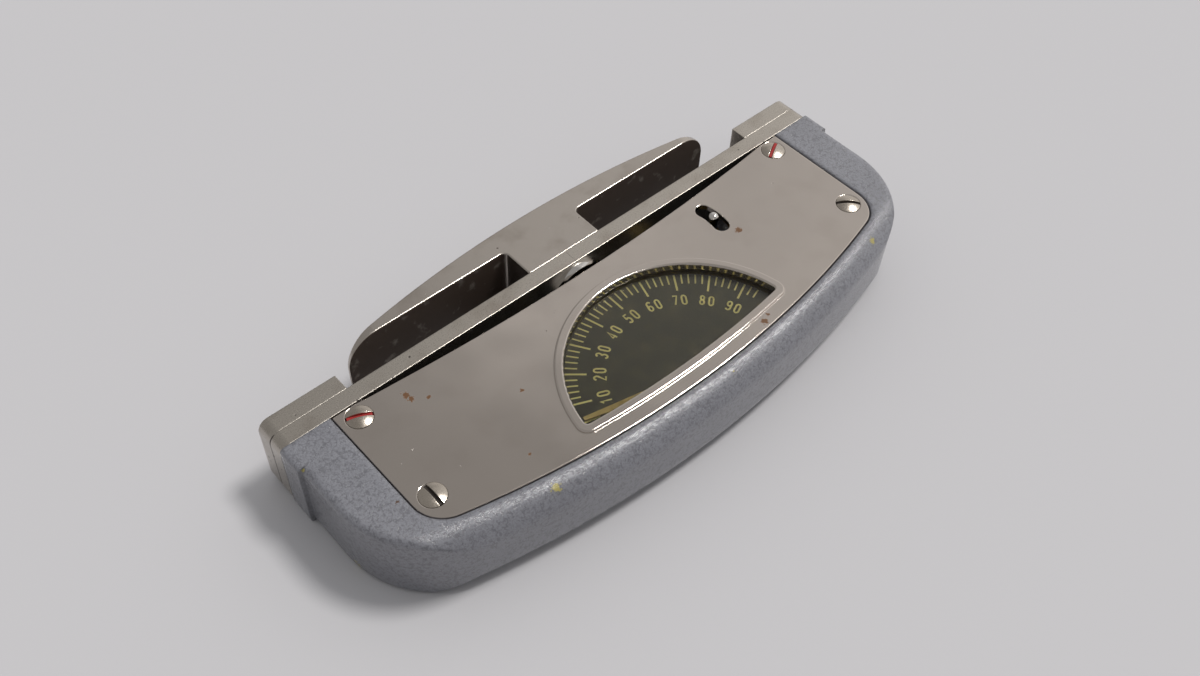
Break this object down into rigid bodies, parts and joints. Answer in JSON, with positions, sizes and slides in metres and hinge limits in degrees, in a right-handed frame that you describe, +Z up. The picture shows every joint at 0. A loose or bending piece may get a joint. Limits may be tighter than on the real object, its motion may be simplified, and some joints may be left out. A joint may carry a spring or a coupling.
{
  "type": "hand dynamometer",
  "caption": "Pocket grip-strength gauge: grey cast palm housing, nickel spring bar and finger grip, half-moon dial with pointer under a nickel cover.",
  "frame": {"origin": "bottom centre of the whole object's box, on the table that the housing lies on", "axes": "+X along the spring bar, +Y towards the finger grip, -Y towards the palm, +Z up out of the cover"},
  "size_m": [0.144, 0.0617, 0.019],
  "materials": {
    "enamel": "hammered grey enamel, worn at the edges",
    "nickel_bar": "worn satin nickel plating, pitted",
    "nickel_grip": "worn nickel plating, brown tarnish inside",
    "nickel_cover": "polished nickel plating with rust spots",
    "bright_nickel": "bright nickel plating",
    "steel_screws": "worn plated steel",
    "steel_plain": "turned steel",
    "spring_wire": "drawn spring wire",
    "brass": "dull brass",
    "brass_dark": "tarnished brass",
    "brass_pointer": "dull brass",
    "dial_black": "matt black paint with cream print",
    "pane": "clear, slightly yellow"
  },
  "bodies": {
    "root": {"base_plate": "brass", "bridge_pillars": "brass", "bridge_screws": "steel_screws", "clamp_block_left": "nickel_bar", "clamp_block_right": "nickel_bar", "clamp_screws": "steel_screws", "cover": "nickel_cover", "cover_screws": "steel_screws", "dial": "dial_black", "dial_pillars": "brass", "dial_screws": "steel_screws", "housing": "enamel", "lever_post": "brass", "lever_screw": "steel_screws", "lever_washer": "steel_plain", "pane_frame": "brass_dark", "plate_screws": "steel_screws", "return_spring": "spring_wire", "spring_bar": "nickel_bar", "spring_post": "brass", "stop_pin": "steel_plain", "upper_plate": "brass", "window_pane": "pane"},
    "grip": {"front_grip": "nickel_grip", "grip_nut": "bright_nickel", "pusher": "steel_plain"},
    "sector": {"sector": "brass", "sector_arbor": "steel_plain"},
    "pointer": {"pinion": "steel_plain", "pointer": "brass_pointer"},
    "hold": {"hold_lever": "brass", "hold_pin": "bright_nickel"}
  },
  "joints": [
    {"name": "grip_press", "type": "slide", "parent": "root", "child": "grip", "axis": [0, -1, 0], "range_m": [0, 0.0013], "stiffness_N_per_m": 691000, "deforming": ["spring_bar"]},
    {"name": "sector_turn", "type": "hinge", "parent": "root", "child": "sector", "pos_m": [0.00763, 0.00169, 0], "axis": [0, 0, 1], "range_deg": [0, 9.74], "deforming": ["return_spring"]},
    {"name": "pointer_turn", "type": "hinge", "parent": "root", "child": "pointer", "pos_m": [0, -0.02275, 0], "axis": [0, 0, 1], "range_deg": [-146.2, 0]},
    {"name": "hold_turn", "type": "hinge", "parent": "root", "child": "hold", "pos_m": [0.019, 0.00395, 0], "axis": [0, 0, 1], "range_deg": [-13, 13]}
  ],
  "couplings": [
    {"joint": "sector_turn", "follows": "grip_press", "rad_per_m": 130.68},
    {"joint": "pointer_turn", "follows": "grip_press", "rad_per_m": -1960.1}
  ]
}
